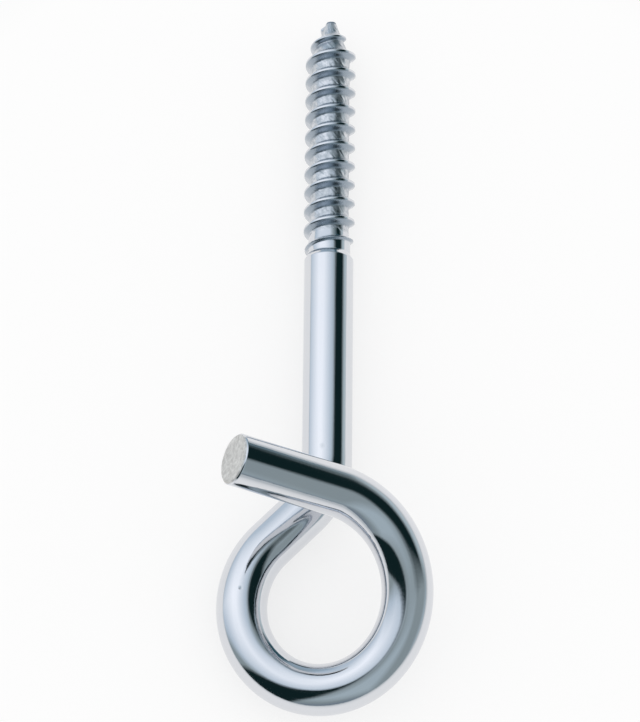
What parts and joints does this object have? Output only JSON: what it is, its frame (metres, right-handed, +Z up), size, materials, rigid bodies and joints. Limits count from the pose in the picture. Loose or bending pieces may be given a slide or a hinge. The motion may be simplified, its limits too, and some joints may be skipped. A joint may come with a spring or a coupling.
{
  "type": "screw hook",
  "caption": "Zinc-plated steel screw hook with a coarse wood-screw thread and an open pigtail loop whose arm climbs across the shank.",
  "frame": {"origin": "centre of the bounding box in plan, at its lowest point, where the hook lies on a flat surface", "axes": "+Y along the shank towards the thread's point, to within a quarter of a degree; +Z up, the side the loop's arm climbs to; +X to the right, away from the arm's cut end"},
  "size_m": [0.0503, 0.1786, 0.0485],
  "materials": {
    "screw_hook": "bright zinc plating over steel, duller and slightly mottled between the thread's ridges and on the cut end"
  },
  "bodies": {
    "root": {"screw_hook": "screw_hook"}
  },
  "joints": []
}
